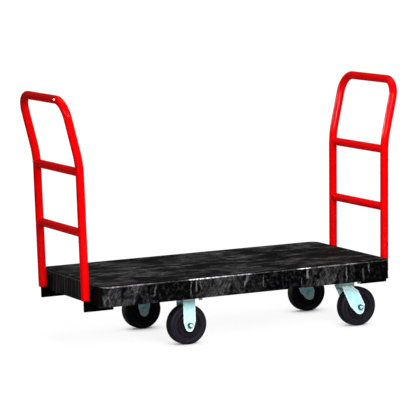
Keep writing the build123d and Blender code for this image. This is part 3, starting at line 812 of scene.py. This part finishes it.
def straight_bead(start, end, outward):
    """A weld bead along a straight joint, with its ripples and pointed ends."""
    start = np.array(start)
    end = np.array(end)
    reach = np.linalg.norm(end - start)
    share = np.linspace(0, 1, max(int(reach / (0.5 * MM)), 12))
    path = start + share[:, None] * (end - start)
    swell = 1 + BEAD_SWELL * np.sin(share * 2 * math.pi * reach / (3.2 * MM))
    ends = np.sqrt(np.clip(np.minimum(share, 1 - share) * reach / (2.5 * MM), 0.0025, 1.0))
    rings = open_rings(path, BRACKET_BEAD * swell * ends, np.array(outward, float), BEAD_SIDES)
    return grid(rings, wrap_columns=True, caps=True)


def plate_outline(length_low, length_high, half_width, radius, rounded_ends):
    """A flat strip's outline with its corners at one or both ends rounded."""
    points = []
    corners = (
        (length_low + radius, -half_width + radius, 180, 270, -1),
        (length_high - radius, -half_width + radius, 270, 360, 1),
        (length_high - radius, half_width - radius, 0, 90, 1),
        (length_low + radius, half_width - radius, 90, 180, -1),
    )
    for x, y, start, end, which in corners:
        if which in rounded_ends:
            points.extend(arc((x, y), radius, start, end, 8))
        else:
            points.append((x + which * radius, y + math.copysign(radius, y)))
    return np.array(points)


def bracket_shells(end, side):
    """A welded handle bracket: flange under the deck, back plate on its end wall, web and seat
    below the post, a spigot inside it, and the weld beads of those joints."""
    y = side * POST_Y
    mirror = np.array([end, 1.0])
    flange = plate_outline(WEB_INNER, BACK_OUTER, BRACKET_HALF, 6 * MM, (-1,)) * mirror + (0, y)
    back = plate_outline(FLANGE_BOTTOM + 0.4 * MM, BACK_TOP, BACK_HALF, 7 * MM, (1,))
    web = np.array([
        (WEB_INNER, FLANGE_BOTTOM), (WEB_INNER, WEB_BOTTOM + 2 * MM),
        (WEB_INNER + 2 * MM, WEB_BOTTOM), (WEB_OUTER - 2 * MM, WEB_BOTTOM),
        (WEB_OUTER, WEB_BOTTOM + 2 * MM), (WEB_OUTER, SEAT_TOP),
        (BACK_OUTER - 1 * MM, SEAT_TOP), (BACK_OUTER - 1 * MM, FLANGE_BOTTOM),
    ]) * mirror
    levels = sorted((end * BACK_INNER, end * BACK_OUTER))
    foot = np.array([end * post_x(SEAT_TOP), y, SEAT_TOP - 0.5 * MM])
    top = np.array([end * post_x(SPIGOT_TOP), y, SPIGOT_TOP])
    way = unit(top - foot)
    spigot_path = np.array([foot, foot + way * 1 * MM, top - way * 2 * MM, top])
    radii = [SPIGOT_RADIUS, SPIGOT_RADIUS, SPIGOT_RADIUS, SPIGOT_RADIUS - 2 * MM]
    spigot = open_rings(spigot_path, radii, np.array([0.0, 1.0, 0.0]))
    shells = [
        slab(flange, FLANGE_BOTTOM, DECK_BOTTOM),
        slab(back[:, ::-1] + (y, 0), *levels, (1, 2, 0)),
        slab(web, y - WEB_HALF, y + WEB_HALF, (0, 2, 1)),
        grid(spigot, wrap_columns=True, caps=True),
    ]
    flange_joint = (end * (WEB_INNER + 4 * MM), end * (BACK_OUTER - 6 * MM))
    back_joint = (FLANGE_BOTTOM + 1 * MM, SEAT_TOP - 2 * MM)
    for joint_y in (y - WEB_HALF, y + WEB_HALF):
        ends = [(x, joint_y, FLANGE_BOTTOM) for x in flange_joint]
        shells.append(straight_bead(*ends, (0, 0, 1)))
        ends = [(end * BACK_OUTER, joint_y, z) for z in back_joint]
        shells.append(straight_bead(*ends, (1, 0, 0)))
    return shells


for end_name, end in ENDS.items():
    for side_name, side in SIDES.items():
        node = f"bracket_{end_name}_{side_name}"
        make_piece(
            f"{node}_welded", bracket_shells(end, side), black_paint, "chassis",
            [node], bevel=0.7 * MM, crease=50,
        )


# ---------------------------------------------------------------- steel under the deck
def rail_outline(y):
    """A channel's section, open upward, with rounded bends outside and inside."""
    half = RAIL_HALF - 0.3 * MM
    wall = 3 * MM
    top = DECK_TOP - DECK_SKIN
    outer = 4.5 * MM
    inner = outer - wall
    left = (-half + outer, DECK_BOTTOM + outer)
    right = (half - outer, DECK_BOTTOM + outer)
    return (y, 0) + np.array([
        (-half, top), *arc(left, outer, 180, 270, 7), *arc(right, outer, 270, 360, 7),
        (half, top), (half - wall, top), *arc(right, inner, 360, 270, 7),
        *arc(left, inner, 270, 180, 7), (-half + wall, top),
    ])


for side_name, side in SIDES.items():
    node = f"deck_rail_{side_name}"
    low, high = corner_values(node)
    make_piece(
        f"{node}_channel", [slab(rail_outline((low[1] + high[1]) / 2), low[0], high[0], (1, 2, 0))],
        galvanised, "chassis", [node], crease=40,
    )
for caster in ("rigid", "swivel"):
    node = f"crossbar_{caster}"
    low, high = corner_values(node)
    half_x, half_y = (high - low)[:2] / 2
    loop = rounded_loop(half_x, half_y, 3 * MM, 6, 2)[0] + (low[:2] + high[:2]) / 2
    make_piece(
        f"{node}_strip", [slab(loop, low[2], high[2])],
        galvanised, "chassis", [node], bevel=0.5 * MM,
    )


# ---------------------------------------------------------------- casters
LEG = 4.8 * MM
LEG_OUTER = 31.4 * MM
LEG_INNER = LEG_OUTER - LEG
LEG_HALF = 25 * MM
RIM = 3.5 * MM
PANEL_DEPTH = 0.8 * MM
BEND = 6 * MM
RACE_RADIUS = 38.5 * MM
CROWN_BOTTOM = 158.2 * MM
CROWN_TOP = CROWN_BOTTOM + LEG
BALL_RADIUS = 4 * MM
BALL_Z = 170.7 * MM
BALL_CIRCLE = 27 * MM
KINGPIN_HOLE = 6.45 * MM
HUB_RADIUS = 22 * MM
HUB_HALF = 25.5 * MM
CORE_RADIUS = 50 * MM
TYRE_HALF = 24 * MM
TREAD_HALF = TYRE_HALF - 9 * MM
RACE_LIP = 34 * MM
PLATE_HALF_X = 57.15 * MM
PLATE_HALF_Y = 50.8 * MM
PLATE_CORNER = 9 * MM
# Circles that the fork legs wrap: X from the fork's middle, height and radius, the rigid ones'
# heights counted from the axle.
RIGID_CIRCLES = np.array([(0, -8, 17.5), (-17, 15, 8), (17, 15, 8)]) * MM
SWIVEL_CIRCLES = np.array([
    (38.5, 138.5, 6), (60.5, 82, 11), (50, 66, 19), (39.5, 62, 10), (14.5, 83, 6)
]) * MM


def tight_outline(circles, corners):
    """The tightest outline round some circles and corner points: for each direction, the point
    that lies furthest that way, with repeats left out. It turns the same way all along."""
    angle = np.radians(np.arange(0, 360, 3.0))
    ways = np.stack([np.cos(angle), np.sin(angle)], axis=1)
    spots = np.array([(x, z) for x, z, _ in circles] + list(corners))
    sizes = np.array([radius for _, _, radius in circles] + [0.0] * len(corners))
    reach = spots @ ways.T + sizes[:, None]
    best = np.argmax(reach, axis=0)
    points = spots[best] + sizes[best][:, None] * ways
    fresh = np.linalg.norm(points - np.roll(points, 1, axis=0), axis=1) > 1e-5
    return points[fresh]


def set_in(outline, distance):
    """An outline moved inward: each point goes along the halving line of its two edges by the
    distance over the cosine of half their turn."""
    ahead = unit(np.roll(outline, -1, axis=0) - outline)
    behind = np.roll(ahead, 1, axis=0)
    left_ahead = np.stack([-ahead[:, 1], ahead[:, 0]], axis=1)
    left_behind = np.stack([-behind[:, 1], behind[:, 0]], axis=1)
    both = left_ahead + left_behind
    return outline + distance * both * (2 / np.sum(both**2, axis=1, keepdims=True))


def leg_shell(outline, x, y, way):
    """One fork leg: rings of its outline, set in by the distances of its profile. The profile
    rounds both edges, runs flat over the rim, and steps down to the panel."""
    skin = 0.03 * MM
    profile = [
        (1.2 * MM, LEG_INNER + skin),
        (0.25 * MM, LEG_INNER + skin + 0.2 * MM),
        (0.0, LEG_INNER + 0.9 * MM),
        (0.0, LEG_OUTER - 1.3 * MM),
        (0.3 * MM, LEG_OUTER - skin - 0.35 * MM),
        (1.1 * MM, LEG_OUTER - skin),
        (RIM - 1.0 * MM, LEG_OUTER - skin),
        (RIM - 0.4 * MM, LEG_OUTER - 0.2 * MM),
        (RIM + 0.3 * MM, LEG_OUTER - PANEL_DEPTH + 0.1 * MM),
        (RIM + 0.9 * MM, LEG_OUTER - PANEL_DEPTH),
    ]
    rings = np.empty((len(profile), len(outline), 3))
    for ring, (distance, level) in zip(rings, profile):
        ring[:, [0, 2]] = set_in(outline, distance) + (x, 0)
        ring[:, 1] = y + way * level
    return grid(rings, wrap_columns=True, caps=True)


def bridge_outline(top):
    """The bent top of a fork in Y and Z: a strip with round shoulders and short turned ends."""
    inner = BEND - LEG
    low = top - 2 * LEG
    return np.array([
        (-LEG_OUTER, low), *arc((-LEG_OUTER + BEND, top - BEND), BEND, 180, 90, 9),
        *arc((LEG_OUTER - BEND, top - BEND), BEND, 90, 0, 9), (LEG_OUTER, low), (LEG_INNER, low),
        *arc((LEG_OUTER - BEND, top - BEND), inner, 0, 90, 5),
        *arc((-LEG_OUTER + BEND, top - BEND), inner, 90, 180, 5), (-LEG_INNER, low),
    ])


def fork_shells(x, y, top, circles):
    """A fork: its bent top and its two legs, whose panels look outward."""
    low = top - 2 * LEG
    outline = tight_outline(circles, [(-LEG_HALF, low + 1 * MM), (LEG_HALF, low + 1 * MM)])
    bridge = bridge_outline(top) + (y, 0)
    legs = [leg_shell(outline, x, y, way) for way in SIDES.values()]
    return [slab(bridge, x - LEG_HALF, x + LEG_HALF, (1, 2, 0)), *legs]


def crown_shell(y):
    """The swivel fork's round crown and lower ball race, with its ball groove."""
    groove = arc((BALL_CIRCLE, BALL_Z), BALL_RADIUS + 0.05 * MM, 194, 346, 12)
    profile = [
        (CROWN_BOTTOM, KINGPIN_HOLE), (CROWN_BOTTOM, RACE_RADIUS - 0.8 * MM),
        (CROWN_BOTTOM + 0.8 * MM, RACE_RADIUS), (CROWN_TOP - 0.8 * MM, RACE_RADIUS),
        (CROWN_TOP, RACE_RADIUS - 0.8 * MM), (CROWN_TOP, RACE_LIP + 0.6 * MM),
        (CROWN_TOP + 0.6 * MM, RACE_LIP), (BALL_Z - 1.6 * MM, RACE_LIP),
        (BALL_Z - 1 * MM, RACE_LIP - 0.6 * MM), *groove[::-1, ::-1],
        (BALL_Z - 1 * MM, KINGPIN_HOLE),
    ]
    return turned_upright(profile, (SWIVEL_X, y, 0))


def race_shell(y):
    """The upper race: a pressed cup with a rounded shoulder, a rolled lip and a ball groove."""
    low, high = corner_values("swivel_race_far")
    wall = 2.5 * MM
    ceiling = BALL_Z + 3.3 * MM
    hole = 6.5 * MM
    groove = arc((BALL_CIRCLE, BALL_Z), BALL_RADIUS + 0.3 * MM, 51, 129, 9)
    shoulder = arc((RACE_RADIUS - wall, high[2] - wall), wall, 90, 0, 7)
    profile = [
        (high[2], hole), *shoulder[:, ::-1],
        (low[2] + 0.4 * MM, RACE_RADIUS), (low[2], RACE_RADIUS - 0.5 * MM),
        (low[2], RACE_RADIUS - wall + 0.5 * MM), (low[2] + 0.4 * MM, RACE_RADIUS - wall),
        (ceiling, RACE_RADIUS - wall), *groove[:, ::-1], (ceiling, hole),
    ]
    return turned_upright(profile, (SWIVEL_X, y, 0))


def wheel_shell(half, x, y):
    """One half of a wheel's profile and its mirror image, turned round the axle."""
    profile = np.array([*half, *[(-along, radius) for along, radius in half[::-1]]])
    return turned(profile, (x, y, AXLE_Z), WHEEL_STEPS)


def tyre_shell(x, y):
    """A solid tyre: flat sides with a fine groove, round shoulders, a slightly crowned tread
    and a low parting line round its middle."""
    groove_floor = TYRE_HALF - 0.35 * MM
    side = [
        (TYRE_HALF - 1.5 * MM, CORE_RADIUS), (TYRE_HALF, CORE_RADIUS + 1.5 * MM),
        (TYRE_HALF, 56.4 * MM), (groove_floor, 56.9 * MM), (groove_floor, 57.5 * MM),
        (TYRE_HALF, 58.0 * MM),
    ]
    shoulder = arc((TREAD_HALF, WHEEL_RADIUS - 9.2 * MM), TYRE_HALF - TREAD_HALF, 0, 88, 12)
    tread = [
        (7 * MM, WHEEL_RADIUS - 0.08 * MM), (0.5 * MM, WHEEL_RADIUS - 0.05 * MM),
        (0.2 * MM, WHEEL_RADIUS),
    ]
    return wheel_shell([*side, *shoulder, *tread], x, y)


def core_shell(x, y):
    """The wheel's moulded core: hub, fillet, dished web, step and rim, the same on both sides."""
    half = [
        (HUB_HALF, 15 * MM), (HUB_HALF, 18.4 * MM), (HUB_HALF - 0.4 * MM, 19 * MM),
        (HUB_HALF - 2.4 * MM, 21.6 * MM), (HUB_HALF - 3 * MM, HUB_RADIUS), (20.2 * MM, 23 * MM),
        (19.2 * MM, 24.4 * MM), (19 * MM, 26 * MM), (19 * MM, 42.5 * MM), (19.3 * MM, 44 * MM),
        (22.6 * MM, 46.6 * MM), (23 * MM, 47.2 * MM), (23 * MM, CORE_RADIUS),
    ]
    return wheel_shell(half, x, y)


for side_name, side in SIDES.items():
    y = side * CASTER_Y
    for caster, x in (("rigid", RIGID_X), ("swivel", SWIVEL_X)):
        plate = rounded_loop(PLATE_HALF_X, PLATE_HALF_Y, PLATE_CORNER, 9, 2)[0] + (x, y)
        make_piece(
            f"{caster}_top_plate_{side_name}", [slab(plate, PLATE_BOTTOM, PLATE_TOP)], zinc,
            "chassis", [f"{caster}_plate_{side_name}"], bevel=0.8 * MM,
        )
    rigid_horn = fork_shells(RIGID_X, y, PLATE_BOTTOM, RIGID_CIRCLES + (0, AXLE_Z, 0))
    make_piece(
        f"rigid_horn_{side_name}", rigid_horn, fork_zinc, "chassis",
        [f"rigid_fork_{side_name}"], crease=38,
    )
    swivel_horn = [*fork_shells(SWIVEL_X, y, CROWN_TOP, SWIVEL_CIRCLES), crown_shell(y)]
    make_piece(
        f"swivel_horn_{side_name}", swivel_horn, fork_zinc, f"swivel_yoke_{side_name}",
        [f"swivel_fork_{side_name}"], crease=38,
    )
    make_piece(
        f"swivel_cup_{side_name}", [race_shell(y)], zinc, "chassis",
        [f"swivel_race_{side_name}"], crease=38,
    )
    for caster, x in (("rigid", RIGID_X), ("swivel", SWIVEL_AXLE_X)):
        make_piece(
            f"{caster}_solid_tyre_{side_name}", [tyre_shell(x, y)], tyre_finishes[caster],
            f"{caster}_wheel_{side_name}", [f"{caster}_tyre_{side_name}"], crease=40,
        )
        make_piece(
            f"{caster}_wheel_core_{side_name}", [core_shell(x, y)], core_finishes[caster],
            f"{caster}_wheel_{side_name}", [f"{caster}_core_{side_name}"],
            crease=30,
        )


# ---------------------------------------------------------------- CAD parts that stay
for name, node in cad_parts.items():
    inner_steel = any(word in name for word in ("bearing", "balls", "sleeve"))
    finish = bearing_steel if inner_steel else bright_steel
    if "axle_nut" in name or "bracket" in name or "lock" in name:
        finish = dark_steel
    if "axle_bolt" in name:
        finish = zinc
    if not node.material_slots:
        node.data.materials.append(finish)
    for material_slot in node.material_slots:
        material_slot.material = finish


# ---------------------------------------------------------------- floor, light and camera
FLOOR_HALF = 14.0


def make_floor():
    """A plain pale floor: a flat sheet of quads."""
    places = np.linspace(-FLOOR_HALF, FLOOR_HALF, 9)
    points = np.stack(np.meshgrid(places, places, 0.0, indexing="ij"), axis=-1)[:, :, 0]
    vertices, faces = grid(points)
    mesh = bpy.data.meshes.new("floor")
    mesh.from_pydata(vertices.tolist(), [], faces)
    floor = new_object("floor", mesh)
    material = bpy.data.materials.new("floor_white")
    tree = fresh_tree(material)
    camera_ray = Varying(add(tree, "ShaderNodeLightPath"), "Is Camera Ray")
    place = Varying(add(tree, "ShaderNodeTexCoord"), "Object")
    tone = mixed(camera_ray, (0.26, 0.26, 0.27, 1), (0.95, 0.95, 0.95, 1))
    matte = Varying(add(tree, "ShaderNodeBsdfDiffuse", {"Color": tone}))
    glow = Varying(add(tree, "ShaderNodeEmission", {"Color": (1, 1, 1, 1), "Strength": 1.06}))
    near = Varying(add(tree, "ShaderNodeAmbientOcclusion", {"Distance": 0.10}), "AO")
    weight = camera_ray * band(length(place), 0.7, 1.7, 0.84, 1.0)
    weight *= band(near, 0.25, 0.95, 0.15, 1.0)
    blend = Varying(add(tree, "ShaderNodeMixShader", {0: weight, 1: matte, 2: glow}))
    add(tree, "ShaderNodeOutputMaterial", {"Surface": blend})
    mesh.materials.append(material)


def make_world():
    """White behind everything for the camera, and a dimmer grey as light."""
    world = bpy.data.worlds.new("studio")
    bpy.context.scene.world = world
    tree = fresh_tree(world)
    camera_ray = Varying(add(tree, "ShaderNodeLightPath"), "Is Camera Ray")
    sockets = {"Value": camera_ray, "To Min": 0.22, "To Max": 1.2}
    level = Varying(add(tree, "ShaderNodeMapRange", sockets), "Result")
    sky = Varying(add(tree, "ShaderNodeBackground", {"Color": (1, 1, 1, 1), "Strength": level}))
    add(tree, "ShaderNodeOutputWorld", {"Surface": sky})


def area_light(name, place, aim, width, height, power, diffuse=True, gloss=True):
    """A soft rectangular light at a place, turned to face a point. One without diffuse shows only
    as a highlight, and one without gloss shows in no highlight."""
    data = bpy.data.lights.new(name, "AREA")
    data.shape = "RECTANGLE"
    data.size = width
    data.size_y = height
    data.energy = power
    light = new_object(name, data)
    light.location = place
    light.rotation_euler = (Vector(aim) - Vector(place)).to_track_quat("-Z", "Y").to_euler()
    light.visible_diffuse = diffuse
    light.visible_glossy = gloss


def make_camera():
    """A long lens a little above the deck, looking from the near left corner, tilted slightly.
    The angles turn it towards +X, down and sideways."""
    yaw, pitch, roll = np.radians((26.091, 7.293, -1.338)).tolist()
    level = Vector((math.cos(yaw), -math.sin(yaw), 0))
    forward = Vector((math.sin(yaw), math.cos(yaw), 0))
    ahead = forward * math.cos(pitch) - Vector((0, 0, math.sin(pitch)))
    above = level.cross(ahead)
    right = level * math.cos(roll) + above * math.sin(roll)
    up = above * math.cos(roll) - level * math.sin(roll)
    place = Vector((-4.2092, -8.5465, 1.6975))
    data = bpy.data.cameras.new("camera")
    data.lens = 215.5
    data.sensor_width = 36
    data.clip_end = 60
    camera = new_object("camera", data)
    turn = Matrix((right, up, -ahead)).transposed()
    camera.matrix_world = Matrix.Translation(place) @ turn.to_4x4()
    bpy.context.scene.camera = camera


make_floor()
make_world()
area_light("key", (-0.2, -2.8, 1.7), (0, 0, 0.4), 1.5, 0.9, 88)
area_light("front", (-0.9, -3.2, 1.2), (0.1, 0, 0.12), 1.2, 0.3, 40)
area_light("left_fill", (-3.0, -2.2, 1.9), (0, 0, 0.3), 1.6, 1.6, 32)
area_light("right_fill", (3.0, 1.4, 1.9), (0, 0, 0.4), 1.6, 1.6, 22)
area_light("back_fill", (0.3, 3.4, 1.7), (0, 0, 0.3), 2.0, 1.2, 60, gloss=False)
area_light("top", (0.2, 0.6, 4.2), (0, 0, 0.2), 3.0, 2.0, 34)
area_light("streak", (-1.95, 1.75, 1.52), (0.67, 0.2, 0.83), 0.5, 0.8, 130, diffuse=False)
make_camera()

bpy.context.scene.view_settings.view_transform = "Standard"
bpy.context.scene.view_settings.look = "None"
